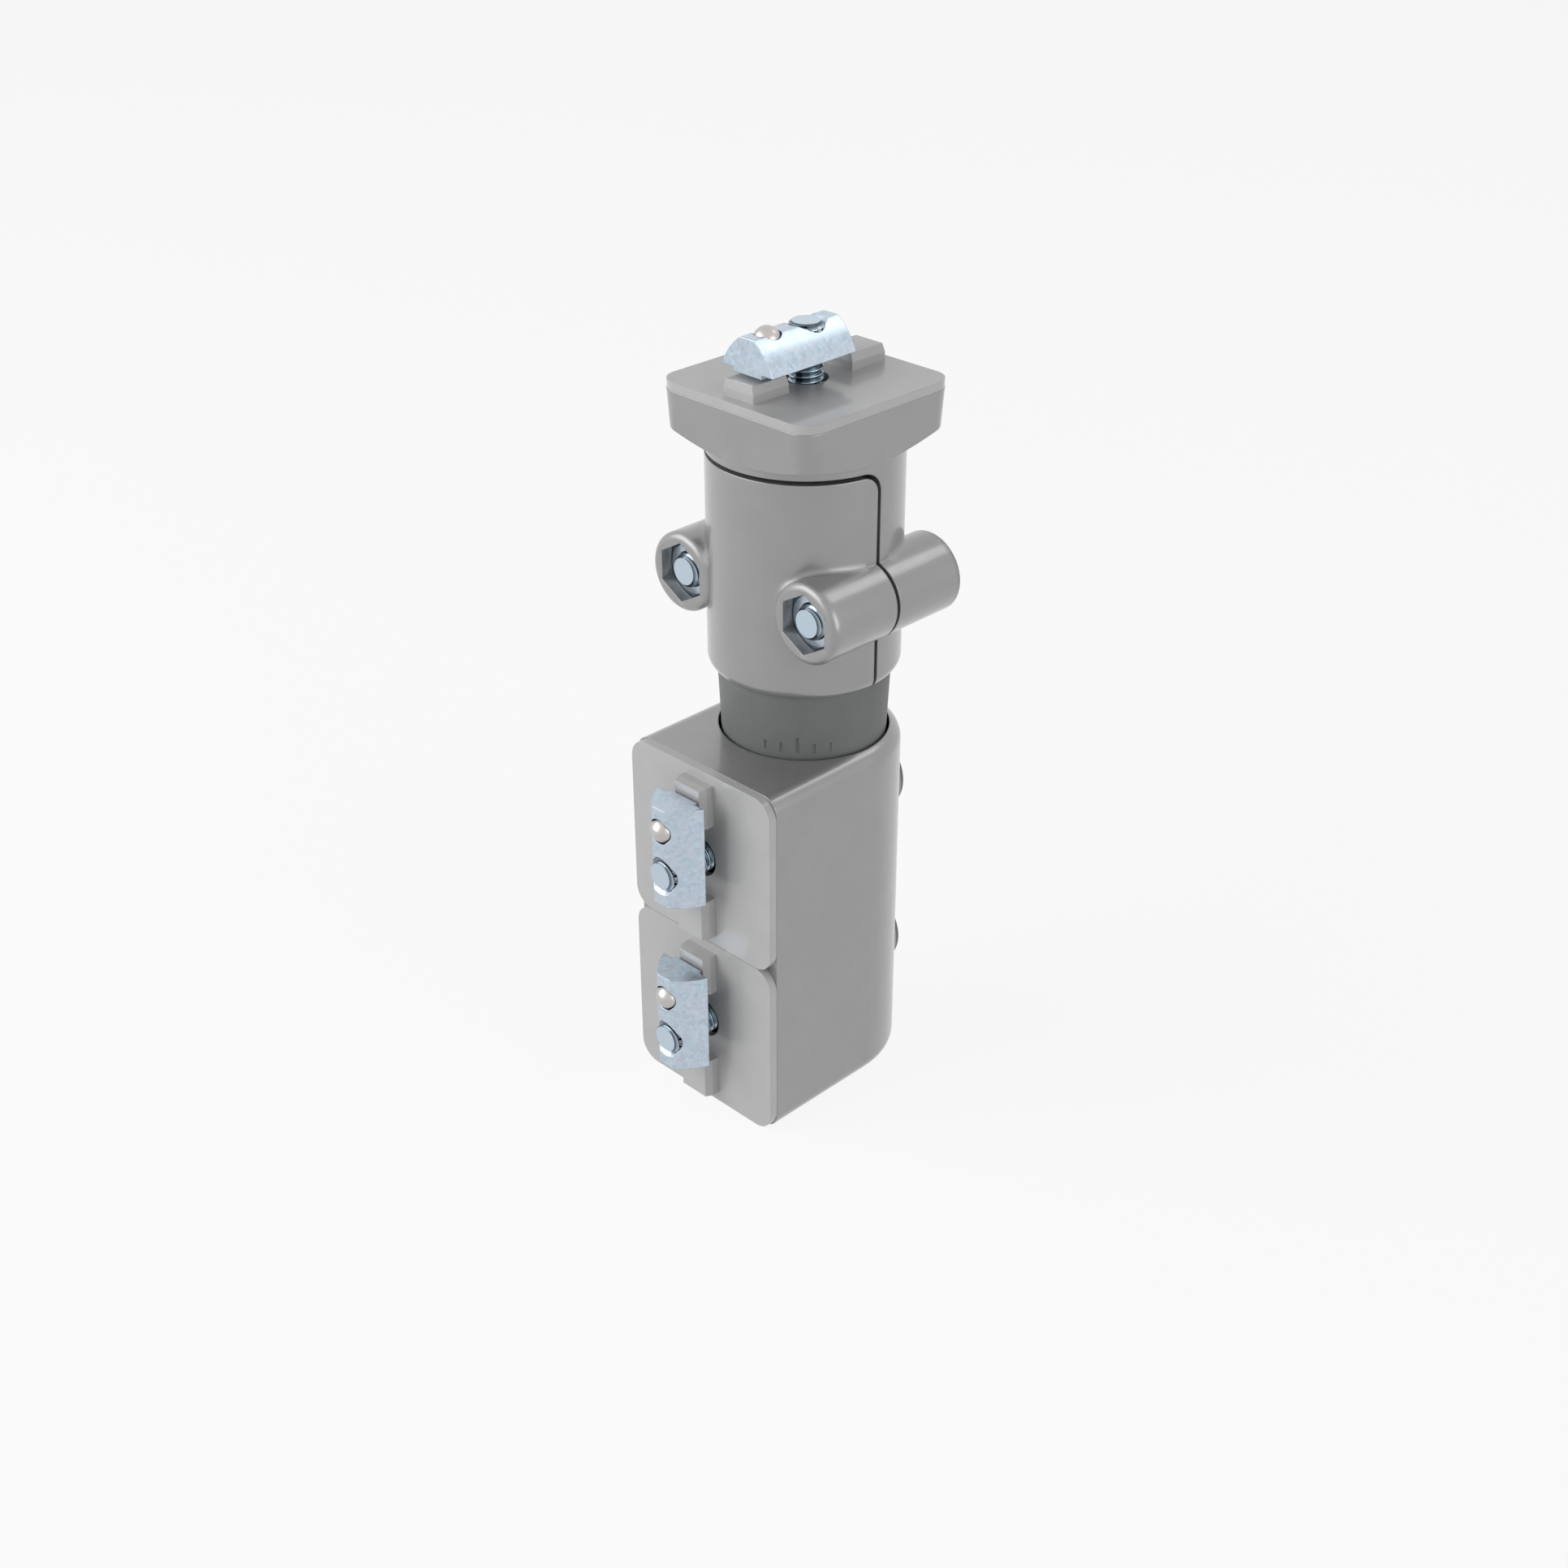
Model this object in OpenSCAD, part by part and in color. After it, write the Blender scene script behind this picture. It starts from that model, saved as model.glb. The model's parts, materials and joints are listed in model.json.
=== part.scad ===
// Friction joint for 45 mm aluminium framing profiles.
// The swivel axis is Z, the foot of the housing is Z = 0 and the housing's
// mounting face looks along -Y. All sizes are in millimetres.

/* [Grid] */
// Side of one framing cell, the width of every face that meets a profile
cell = 45; // [40:1:60]
// Corner radius of the flange and of the plates
face_corner_r = 5; // [2:0.5:8]

/* [Ribbed faces] */
// Half width of the cross-shaped recess that takes the inner lugs
arm_half = 4.8; // [3:0.1:6]
// Thickness of the walls between the cross and the corner pockets
rib_t = 2; // [1:0.1:3]
// Width of the rim outside the corner pockets
pocket_rim = 4.3; // [3:0.1:7]
// Width of the rim outside the ends of the cross
arm_rim = 2.2; // [1:0.1:4]
// Rounding of the wall corners that face the screw
wall_corner_r = 3; // [1:0.25:4]
// Rounding of the pockets at those corners
pocket_corner_r = 1.2; // [0.5:0.1:3]
// How far the ribs across the arms sit below the face
rib_setback = 4.5; // [2:0.5:7]
// Half thickness of the wall between the two cells of the housing
cell_wall_half = 1.1; // [0.6:0.1:2]

/* [Housing] */
// Distance from the swivel axis to the mounting face
housing_front = 31.5; // [29:0.5:40]
// Rounding of the housing's top and bottom edges
housing_edge_r = 4; // [1:0.5:6]
// Depth of the pockets beside the socket of the insert
shallow_depth = 8.8; // [8.6:0.1:9.5]
// Depth of all other pockets
deep_depth = 29; // [12:0.5:31]
// Depth of the socket that takes the insert
housing_socket = 13.5; // [8:0.5:14]
// Diameter of the flat pads round the screw holes at the back
pad_d = 21; // [19:0.5:26]
// How far the pads stand out of the round back
pad_proud = 0.3; // [0.1:0.1:2]
// Distance from the swivel axis to the seats of the washers
washer_seat = 2.4; // [0:0.2:6]

/* [Friction insert] */
// Radius at the waist line in the middle
insert_r = 19.75; // [17:0.25:20]
// Radius lost from the waist line to each end
insert_draft = 0.75; // [0.2:0.05:1.5]
// Overall length
insert_len = 35; // [32:0.5:44]
// Wall of the sleeve
insert_wall = 4.5; // [3:0.25:6]
// Height of the index marks
mark_h = 4; // [2:0.5:6]
// Depth of the index marks
mark_depth = 0.25; // [0.15:0.05:0.6]
// Distance of each row of marks from the waist line
mark_offset = 10.5; // [7:0.5:12]
// Angle between two marks
mark_step = 11; // [6:1:16]
// How far the insert stands out of its seat in the housing at rest
draw_out = 9.7; // [0:0.1:10]

/* [Head casting] */
// Height from the lower rim to the flange face
head_h = 65; // [60:1:80]
// Outer radius of the clamp barrel
barrel_r = 22; // [21.5:0.25:24]
// Rounding of the barrel's lower edge
barrel_edge_r = 3; // [0.5:0.5:4]
// Depth of the socket that takes the insert
head_socket = 16.2; // [12:0.2:16.6]
// Radius of the bore above the insert
core_r = 12.4; // [9:0.2:13]
// Height of the flange's side walls at the corners
flange_side = 8.5; // [7:0.5:12]
// Least distance that the flange reaches past the barrel
flange_overhang = 0.5; // [0.2:0.1:2]
// Inset of the flange's side walls at their lower edge
flange_draft = 0.57; // [0:0.05:1]
// Depth of the conical underside below the flange face, at the barrel
flange_cone = 11.5; // [10.5:0.5:14]
// Depth of the ribbed recess in the flange
flange_recess = 8.4; // [8.2:0.1:9]
// Depth of the recess round the screw hole in the flange
flange_centre = 5.8; // [4:0.2:6.4]
// Distance from the flange face to the seat of the washer below it
top_washer_seat = 8.9; // [8:0.1:10]
// Distance from the flange face to the ceiling of the bore
core_ceiling = 12.4; // [11.5:0.1:12.9]

/* [Clamp] */
// Width of the slit between the two halves
slit = 1; // [0.6:0.1:1.6]
// Distance from the flange face to the slit that runs round under it
slit_top = 13; // [12.6:0.1:15]
// Corner radius where the slit turns down
slit_corner_r = 4; // [1:0.5:6]
// Distance of the clamp screws from the swivel axis
ear_x = 19.15; // [18.6:0.05:21]
// Height of the clamp screws above the lower rim
ear_z = 21.7; // [21.4:0.1:26]
// Radius of the ears
ear_r = 9.3; // [8.6:0.1:11]
// Half length of the ears
ear_half = 20; // [19:0.5:24]
// Rounding of the front edge of the ears
ear_edge_r = 1.4; // [0.5:0.1:1.8]
// Depth from the ear's front face to the nut
nut_recess = 2.9; // [0.5:0.1:4]
// Depth from the ear's front face to the tip of the clamp screw
tip_recess = 0.9; // [0.2:0.1:2]

/* [Alignment plates] */
// Thickness of the plate
plate_t = 2; // [1.5:0.1:4]
// Diameter of the screw hole
plate_hole_d = 10; // [8.6:0.2:12]
// Width of the outer lugs that enter the profile slot
slot_lug_w = 9; // [6:0.1:10]
// Width of the outer lugs on their face
slot_lug_top_w = 7.8; // [5:0.1:9]
// Height of the outer lugs
slot_lug_h = 3.7; // [2:0.1:4.2]
// Length of the outer lugs
slot_lug_len = 10.4; // [6:0.1:12]
// Distance from the screw hole's centre to the outer lugs
slot_lug_start = 9.6; // [8:0.1:12]
// Height of the inner lugs that drop into the cross
inner_lug_h = 8; // [4:0.1:8]
// Thickness of the inner lugs, towards the hole
inner_lug_t = 4.2; // [2:0.1:6]
// Side clearance of the inner lugs in the cross
inner_lug_gap = 0.5; // [0.3:0.05:0.8]

/* [T-nuts] */
// Width across the shoulders
nut_w = 15; // [13:0.5:18]
// Length along the slot
nut_len = 25; // [22:0.5:32]
// Height from the shoulders to the crest
nut_h = 6.9; // [6.5:0.1:9]
// Width of the flat crest
nut_crest_w = 4.2; // [3:0.1:6]
// Radius of the curved flanks
nut_flank_r = 16; // [8.5:0.5:24]
// Width of the countersink of the threaded hole
nut_sink_d = 9.6; // [8.8:0.1:11]
// Width of the collar under the shoulders
nut_collar_w = 8.4; // [6:0.1:9]
// Height of the collar
nut_collar_h = 0.9; // [0.4:0.1:1.2]
// Distance from the screw hole to the near end
nut_hole_end = 7.6; // [6:0.1:9]
// Distance from the ball to the other end
ball_end = 5.8; // [4.5:0.1:7]
// Diameter of the spring ball
ball_d = 6; // [4:0.5:6]
// How far the ball stands above the crest
ball_rise = 1.5; // [1:0.1:2.6]
// Thickness of the slot lip that the nut clamps, from the plate to the shoulders
lip_t = 5.5; // [5.4:0.1:9]
// Wire diameter of the ball spring
spring_wire = 0.6; // [0.4:0.05:0.8]

/* [Screws] */
// Thread diameter
screw_d = 8; // [6:1:8]
// Head diameter
screw_head_d = 13; // [10:0.5:13.5]
// Head height
screw_head_h = 8; // [6:0.5:8]
// Size of the hexagon socket across flats
socket_af = 6; // [5:0.5:6]
// Depth of the hexagon socket
socket_depth = 4; // [3:0.25:5]
// Length of the housing screws
housing_screw_len = 50; // [49:1:55]
// Length of the flange screw
flange_screw_len = 25; // [24:1:28]
// Length of the clamp screws
clamp_screw_len = 30; // [28:1:30]
// Length of the plain neck under the head
neck_len = 5; // [2:0.5:7]
// Outer diameter of the washers
washer_d = 15; // [14:0.5:16]
// Inner diameter of the washers
washer_hole_d = 9; // [8.2:0.1:9.4]
// Thickness of the washers
washer_t = 1.6; // [1:0.1:2]
// Size of the clamp nuts across flats
hex_nut_af = 12; // [11:0.5:13]
// Height of the clamp nuts
hex_nut_h = 6.5; // [5:0.1:8]

/* [Caps] */
// Diameter of the cap's cover
cap_d = 20; // [18:0.5:24]
// Height of the cover at its rounded rim
cap_rim_h = 1.8; // [1:0.1:3]
// Height that the dome adds in the middle
cap_dome_h = 0.8; // [0.3:0.1:2]
// Length of the three snap walls that enter the screw hole
cap_skirt_h = 4.5; // [3:0.5:6]
// Length of the low walls between them
cap_low_h = 1.6; // [0.6:0.1:2.4]
// Diameter of the mouth of the screw hole that takes the skirt
cap_bore_d = 17.6; // [17:0.1:18.6]
// Wall of the skirt
cap_wall = 0.8; // [0.6:0.1:1.4]
// Depth of the three flats of the skirt
cap_flat = 1; // [0.5:0.1:1.4]
// Height of the snap nubs on the skirt
cap_nub = 0.55; // [0.3:0.05:0.7]

/* [Clearances] */
// Radial clearance between the insert and its sockets
socket_gap = 0.25; // [0.2:0.05:0.5]
// Radial clearance of a thread in its nut
thread_gap = 0.08; // [0.04:0.01:0.1]
// Radial clearance of a screw in a plain hole
hole_gap = 0.5; // [0.3:0.05:0.8]
// Radial clearance of a screw head or washer in its counterbore
head_gap = 0.3; // [0.2:0.05:0.5]
// Radial clearance of the ball in its hole
ball_gap = 0.1; // [0.05:0.05:0.2]

/* [Hidden] */

$fn = 96;
eps = 0.01;
cut = 1;
half = cell / 2;
housing_h = 2 * cell;
upper_z = 1.5 * cell;
lower_z = 0.5 * cell;
pocket_in = arm_half + rib_t;
pocket_out = half - pocket_rim;
arm_out = half - arm_rim;
screw_r = screw_d / 2;
hole_r = screw_r + hole_gap;
washer_bore_r = washer_d / 2 + head_gap;
flange_half = max(half, barrel_r + flange_overhang);
cap_r = cap_d / 2;
cap_edge_r = 0.4 * cap_rim_h;
nub_r = 0.8;
skirt_gap = 0.1;
skirt_r = cap_bore_d / 2 - skirt_gap - cap_nub;
cap_mouth_h = cap_skirt_h + 1;
insert_half = insert_len / 2;
insert_end_r = insert_r - insert_draft;
seat_gap = 0.3;
insert_seat_z = housing_h - housing_socket + seat_gap;
insert_z = insert_seat_z + draw_out;
head_z = insert_z + insert_len - head_socket + seat_gap;
flange_z = head_z + head_h;
tip_chamfer = 0.8;
thread_r = screw_r - 0.05;
nut_gap = 0.15;
clamp_seat = -ear_half + tip_recess + clamp_screw_len;
ball_y = nut_hole_end - nut_len + ball_end;
ball_floor = 0.6;
pad_face = half + pad_proud;
plate_gap = 0.1;
cast_grey = [0.60, 0.60, 0.61];
insert_grey = [0.43, 0.45, 0.44];
plate_grey = [0.74, 0.74, 0.74];
zinc = [0.72, 0.77, 0.81];
bright_steel = [0.85, 0.84, 0.82];
cap_grey = [0.36, 0.37, 0.37];

// Rectangle with round corners, centred
module round_rect(w, h, r) {
    square([w - 2 * r, h], center = true);
    square([w, h - 2 * r], center = true);
    for (sx = [-1, 1], sy = [-1, 1])
        translate([sx * (w / 2 - r), sy * (h / 2 - r)])
            circle(r = r);
}

// Square with one rounded corner at the far end of its diagonal
module one_round_square(w, h, r) {
    square([w - r, h]);
    square([w, h - r]);
    translate([w - r, h - r])
        circle(r = r);
}

// Corner pocket in the quadrant of sx and sy, rounded at the corner near the screw
module corner_pocket(sx, sy, out_y) {
    w = pocket_out - pocket_in;
    h = out_y - pocket_in;
    r = pocket_corner_r;
    translate([sx * (pocket_in + r + pocket_out) / 2, sy * (pocket_in + out_y) / 2])
        square([w - r, h], center = true);
    translate([sx * (pocket_in + pocket_out) / 2, sy * (pocket_in + r + out_y) / 2])
        square([w, h - r], center = true);
    translate([sx * (pocket_in + r), sy * (pocket_in + r)])
        circle(r = r);
}

// The cross between the pockets, with arms of four lengths and rounded wall corners
module cross_recess(left, right, down, up) {
    translate([-left, -arm_half])
        square([left + right, 2 * arm_half]);
    translate([-arm_half, -down])
        square([2 * arm_half, down + up]);
    for (a = [0:90:270])
        rotate(a)
            difference() {
                translate([arm_half - eps, arm_half - eps])
                    square(wall_corner_r + eps);
                translate([arm_half + wall_corner_r, arm_half + wall_corner_r])
                    circle(r = wall_corner_r);
            }
}

// The ribs that cross the arms between neighbouring pockets
module arm_ribs() {
    for (a = [0:90:270])
        rotate(a)
            translate([arm_half, -arm_half - cut])
                square([rib_t, 2 * arm_half + 2 * cut]);
}

// Cutting tool of a ribbed face at Z = 0, cutting down
module ribbed_cut(depth, centre_depth) {
    translate([0, 0, -depth])
        linear_extrude(depth + cut)
            for (sx = [-1, 1], sy = [-1, 1])
                corner_pocket(sx, sy, pocket_out);
    translate([0, 0, -rib_setback])
        linear_extrude(rib_setback + cut)
            cross_recess(arm_out, arm_out, arm_out, arm_out);
    translate([0, 0, -depth])
        linear_extrude(depth)
            difference() {
                cross_recess(arm_out, arm_out, arm_out, arm_out);
                square(2 * pocket_in, center = true);
            }
    translate([0, 0, -centre_depth])
        linear_extrude(centre_depth)
            square(2 * arm_half, center = true);
}

// Puts a shape drawn on the XY plane onto the mounting face of the housing
module on_front_face(z) {
    translate([0, -housing_front, z])
        rotate([90, 0, 0])
            children();
}

// Bar of one screw hole along +Y from y0 to y1
module y_bore(r, y0, y1) {
    translate([0, y0, 0])
        rotate([-90, 0, 0])
            cylinder(r = r, h = y1 - y0);
}

// Half profile of the housing's round back
module housing_profile() {
    intersection() {
        translate([0, housing_h / 2])
            round_rect(cell, housing_h, housing_edge_r);
        square([half + cut, housing_h]);
    }
}

module housing_block() {
    rotate([90, 0, 0])
        linear_extrude(housing_front)
            translate([0, housing_h / 2])
                round_rect(cell, housing_h, housing_edge_r);
    rotate_extrude(angle = 180)
        housing_profile();
    for (z = [lower_z, upper_z])
        translate([0, 0, z])
            y_bore(pad_d / 2, 0, pad_face);
}

// Pockets beside the socket of the insert, in the plane of the mounting face
module housing_pockets_shallow() {
    for (sx = [-1, 1])
        translate([0, upper_z])
            corner_pocket(sx, 1, pocket_out);
}

// All other pockets of the housing
module housing_pockets_deep() {
    for (sx = [-1, 1]) {
        translate([0, upper_z])
            corner_pocket(sx, -1, half - cell_wall_half);
        translate([0, lower_z])
            corner_pocket(sx, 1, half - cell_wall_half);
        translate([0, lower_z])
            corner_pocket(sx, -1, pocket_out);
    }
}

module housing_crosses() {
    translate([0, upper_z])
        cross_recess(arm_out, arm_out, half + eps, arm_out);
    translate([0, lower_z])
        cross_recess(arm_out, arm_out, arm_out, half + eps);
}

module housing_ribs() {
    for (z = [lower_z, upper_z])
        translate([0, z])
            arm_ribs();
    translate([-arm_half - cut, cell - cell_wall_half])
        square([2 * arm_half + 2 * cut, 2 * cell_wall_half]);
}

module housing_cuts() {
    on_front_face(0) {
        translate([0, 0, -shallow_depth])
            linear_extrude(shallow_depth + cut)
                housing_pockets_shallow();
        translate([0, 0, -deep_depth])
            linear_extrude(deep_depth + cut)
                housing_pockets_deep();
        translate([0, 0, -rib_setback])
            linear_extrude(rib_setback + cut)
                housing_crosses();
        translate([0, 0, -shallow_depth])
            linear_extrude(shallow_depth)
                difference() {
                    housing_crosses();
                    housing_ribs();
                }
    }
    translate([0, 0, housing_h - housing_socket])
        insert_space(housing_socket + cut);
    for (z = [lower_z, upper_z])
        translate([0, 0, z]) {
            y_bore(hole_r, -housing_front - cut, half);
            y_bore(washer_bore_r, washer_seat, pad_face);
            y_bore(cap_bore_d / 2, pad_face - cap_mouth_h, pad_face + cut);
        }
}

module housing() {
    color(cast_grey)
        difference() {
            housing_block();
            housing_cuts();
        }
}

// Radius of the insert at a height above its lower end
function insert_radius(h) = insert_r - insert_draft * abs(h - insert_half) / insert_half;

// Socket of height h for one end of the insert, which lies seat_gap above Z = 0
module insert_space(h) {
    slope = insert_draft / insert_half;
    rotate([0, 0, -90])
        cylinder(r1 = insert_end_r + socket_gap - slope * seat_gap,
                 r2 = insert_end_r + socket_gap + slope * (h - seat_gap), h = h);
}

module insert_sleeve() {
    rotate_extrude()
        polygon([[insert_r - insert_wall - insert_draft, 0], [insert_end_r - 0.6, 0],
                 [insert_end_r, 0.6], [insert_r, insert_half],
                 [insert_end_r, insert_len - 0.6], [insert_end_r - 0.6, insert_len],
                 [insert_r - insert_wall - insert_draft, insert_len]]);
}

// Index marks, in two rows as far from the waist line as the moulded figures
module insert_marks() {
    for (row = [-1, 1], i = [-2:2])
        rotate([0, 0, -50 + i * mark_step])
            translate([insert_radius(insert_half + mark_offset) - mark_depth, -0.35,
                       insert_half + row * mark_offset - mark_h / 2])
                cube([2, 0.7, i == 0 ? mark_h : mark_h * 0.6]);
}

module friction_insert() {
    color(insert_grey)
        translate([0, 0, insert_z])
            difference() {
                insert_sleeve();
                insert_marks();
            }
}

// Side view of the front clamp shell, in the plane of Y and Z, grown by g
module shell_side(g) {
    top = head_h - slit_top - slit + g;
    reach = barrel_r + ear_half;
    translate([-reach - slit / 2 + g, -cut])
        one_round_square(reach, top + cut, slit_corner_r + g);
}

module shell_region(g) {
    rotate([90, 0, 90])
        linear_extrude(4 * cell, center = true)
            shell_side(g);
}

module flange_frustum() {
    run = flange_half - face_corner_r;
    low = flange_half - flange_draft * flange_cone / flange_side;
    for (a = [0, 90])
        rotate([0, 0, a])
            translate([0, run, 0])
                rotate([90, 0, 0])
                    linear_extrude(2 * run)
                        polygon([[-flange_half, 0], [flange_half, 0],
                                 [low, -flange_cone], [-low, -flange_cone]]);
    for (sx = [-1, 1], sy = [-1, 1])
        translate([sx * run, sy * run, -flange_cone])
            cylinder(r1 = low - run, r2 = face_corner_r, h = flange_cone);
}

module flange_block() {
    corner = (flange_half - face_corner_r) * sqrt(2) + face_corner_r;
    intersection() {
        flange_frustum();
        translate([0, 0, -flange_cone])
            union() {
                cylinder(r1 = barrel_r, r2 = corner, h = flange_cone - flange_side + eps);
                translate([0, 0, flange_cone - flange_side])
                    cylinder(r = corner + cut, h = flange_side + cut);
            }
    }
}

// Outside of the clamp barrel with its ears, before the slit is cut
module barrel_block() {
    rotate_extrude()
        intersection() {
            translate([0, head_h / 2])
                round_rect(2 * barrel_r, head_h, barrel_edge_r);
            square([barrel_r + cut, head_h - barrel_edge_r]);
        }
    for (sx = [-1, 1])
        translate([sx * ear_x, 0, ear_z])
            ear_block();
}

module ear_block() {
    translate([0, ear_half, 0])
        rotate([90, 0, 0])
            rotate_extrude()
                intersection() {
                    translate([-ear_r, 0])
                        one_round_square(2 * ear_r, 2 * ear_half, ear_edge_r);
                    square([ear_r, 2 * ear_half]);
                }
}

// Everything cut out of the clamp barrel
module barrel_cuts() {
    translate([0, 0, head_socket])
        mirror([0, 0, 1])
            insert_space(head_socket + cut);
    cylinder(r = core_r, h = head_h - core_ceiling);
    translate([0, 0, head_h - top_washer_seat - (core_ceiling - top_washer_seat) - cut])
        cylinder(r = washer_bore_r, h = core_ceiling - top_washer_seat + cut);
    for (sx = [-1, 1])
        translate([sx * ear_x, 0, ear_z]) {
            y_bore(hole_r, -ear_half, ear_half);
            y_bore(screw_head_d / 2 + head_gap, clamp_seat, ear_half + cut);
            translate([0, -ear_half + nut_recess + hex_nut_h, 0])
                rotate([90, 30, 0])
                    cylinder(d = (hex_nut_af + 2 * nut_gap) / cos(30), h = ear_half, $fn = 6);
        }
}

module head_casting() {
    color(cast_grey)
        translate([0, 0, head_z])
            difference() {
                union() {
                    difference() {
                        barrel_block();
                        shell_region(slit);
                    }
                    translate([0, 0, head_h])
                        flange_block();
                }
                barrel_cuts();
                translate([0, 0, head_h])
                    ribbed_cut(flange_recess, flange_centre);
                cylinder(r = hole_r, h = head_h + cut);
            }
}

module front_clamp_shell() {
    color(cast_grey)
        translate([0, 0, head_z])
            difference() {
                intersection() {
                    barrel_block();
                    shell_region(0);
                }
                barrel_cuts();
            }
}

// Socket-head screw along +Z, bearing face at Z = 0 and head below it
module socket_screw(len) {
    difference() {
        union() {
            translate([0, 0, -screw_head_h])
                cylinder(r1 = screw_head_d / 2 - 0.6, r2 = screw_head_d / 2, h = 0.6);
            translate([0, 0, -screw_head_h + 0.6])
                cylinder(d = screw_head_d, h = screw_head_h - 0.6);
            cylinder(r = screw_r, h = neck_len);
            translate([0, 0, neck_len - cut])
                cylinder(r = thread_r, h = len - tip_chamfer - neck_len + cut);
            translate([0, 0, len - tip_chamfer])
                cylinder(r1 = thread_r, r2 = thread_r - tip_chamfer, h = tip_chamfer);
        }
        translate([0, 0, -screw_head_h - cut])
            cylinder(d = socket_af / cos(30), h = socket_depth + cut, $fn = 6);
        translate([0, 0, -screw_head_h + socket_depth - eps])
            cylinder(r1 = socket_af / 2, r2 = 0, h = socket_af / 4);
    }
}

module clamp_screw(sx) {
    color(zinc)
        translate([sx * ear_x, clamp_seat, head_z + ear_z])
            rotate([90, 0, 0])
                socket_screw(clamp_screw_len);
}

module clamp_screw_left() {
    clamp_screw(-1);
}

module clamp_screw_right() {
    clamp_screw(1);
}

module hex_nut() {
    corner_r = hex_nut_af / cos(30) / 2;
    face_r = hex_nut_af / 2 * 0.97;
    difference() {
        intersection() {
            cylinder(r = corner_r, h = hex_nut_h, $fn = 6);
            union() {
                cylinder(r1 = face_r, r2 = corner_r + eps, h = 0.6);
                translate([0, 0, 0.6 - eps])
                    cylinder(r = corner_r + eps, h = hex_nut_h - 1.2 + 2 * eps);
                translate([0, 0, hex_nut_h - 0.6])
                    cylinder(r1 = corner_r + eps, r2 = face_r, h = 0.6);
            }
        }
        translate([0, 0, -cut])
            cylinder(r = thread_r + thread_gap, h = hex_nut_h + 2 * cut);
        for (z = [-eps, hex_nut_h + eps])
            translate([0, 0, z])
                mirror([0, 0, z > 0 ? 1 : 0])
                    cylinder(r1 = screw_r + 0.25, r2 = screw_r - 0.1, h = 0.35);
    }
}

module clamp_nut(sx) {
    color(zinc)
        translate([sx * ear_x, -ear_half + nut_recess + hex_nut_h, head_z + ear_z])
            rotate([90, 30, 0])
                hex_nut();
}

module clamp_nut_left() {
    clamp_nut(-1);
}

module clamp_nut_right() {
    clamp_nut(1);
}

// Plate of width w with its outer face at Z = plate_t, the slot along Y
module alignment_plate(w) {
    lug_w = 2 * (arm_half - inner_lug_gap);
    lug_out = arm_out - inner_lug_gap;
    difference() {
        union() {
            linear_extrude(plate_t)
                round_rect(w, w, face_corner_r);
            for (a = [0:90:270])
                rotate([0, 0, a])
                    translate([lug_out - inner_lug_t, 0, 0])
                        inner_lug(lug_w);
            for (s = [0, 180])
                rotate([0, 0, s])
                    translate([0, slot_lug_start, plate_t])
                        slot_lug();
        }
        translate([0, 0, -cut])
            cylinder(d = plate_hole_d, h = plate_t + slot_lug_h + 2 * cut);
    }
}

module inner_lug(w) {
    tip = 0.6;
    rotate([90, 0, 90])
        linear_extrude(inner_lug_t)
            polygon([[-w / 2, eps], [w / 2, eps], [w / 2, -inner_lug_h + tip],
                     [w / 2 - tip, -inner_lug_h], [-w / 2 + tip, -inner_lug_h],
                     [-w / 2, -inner_lug_h + tip]]);
}

// Outer lug, straight at its foot and drafted above
module slot_lug() {
    foot = slot_lug_h / 2;
    side = (slot_lug_w - slot_lug_top_w) / 2;
    intersection() {
        rotate([90, 0, 0])
            translate([0, 0, -slot_lug_len])
                linear_extrude(slot_lug_len)
                    polygon([[-slot_lug_w / 2, -eps], [slot_lug_w / 2, -eps],
                             [slot_lug_w / 2, foot], [slot_lug_top_w / 2, slot_lug_h],
                             [-slot_lug_top_w / 2, slot_lug_h], [-slot_lug_w / 2, foot]]);
        rotate([90, 0, 90])
            linear_extrude(2 * slot_lug_w, center = true)
                polygon([[0, -eps], [slot_lug_len, -eps], [slot_lug_len, foot],
                         [slot_lug_len - side / 2, slot_lug_h], [side / 2, slot_lug_h], [0, foot]]);
    }
}

module on_top_face() {
    translate([0, 0, flange_z])
        children();
}

module alignment_plate_top() {
    color(plate_grey)
        on_top_face()
            alignment_plate(2 * flange_half - plate_gap);
}

module alignment_plate_upper() {
    color(plate_grey)
        on_front_face(upper_z)
            alignment_plate(cell - plate_gap);
}

module alignment_plate_lower() {
    color(plate_grey)
        on_front_face(lower_z)
            alignment_plate(cell - plate_gap);
}

// Centre of the arc of radius r from point p to point q, on the left of p to q
function arc_centre(p, q, r) =
    let (d = q - p, m = (p + q) / 2, l = norm(d), k = sqrt(r * r - l * l / 4))
        m + k * [-d[1], d[0]] / l;

// Section of the T-nut, shoulders at Y = 0
module t_nut_section() {
    w = nut_w / 2;
    c = nut_crest_w / 2;
    flank = arc_centre([w, 0], [c, nut_h], nut_flank_r);
    intersection() {
        translate([-w, 0])
            square([nut_w, nut_h]);
        translate(flank)
            circle(r = nut_flank_r);
        translate([-flank[0], flank[1]])
            circle(r = nut_flank_r);
    }
    translate([-nut_collar_w / 2, -nut_collar_h])
        square([nut_collar_w, nut_collar_h + eps]);
}

// Height of the ball's centre over the shoulders
function ball_z() = nut_h + ball_rise - ball_d / 2;

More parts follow.
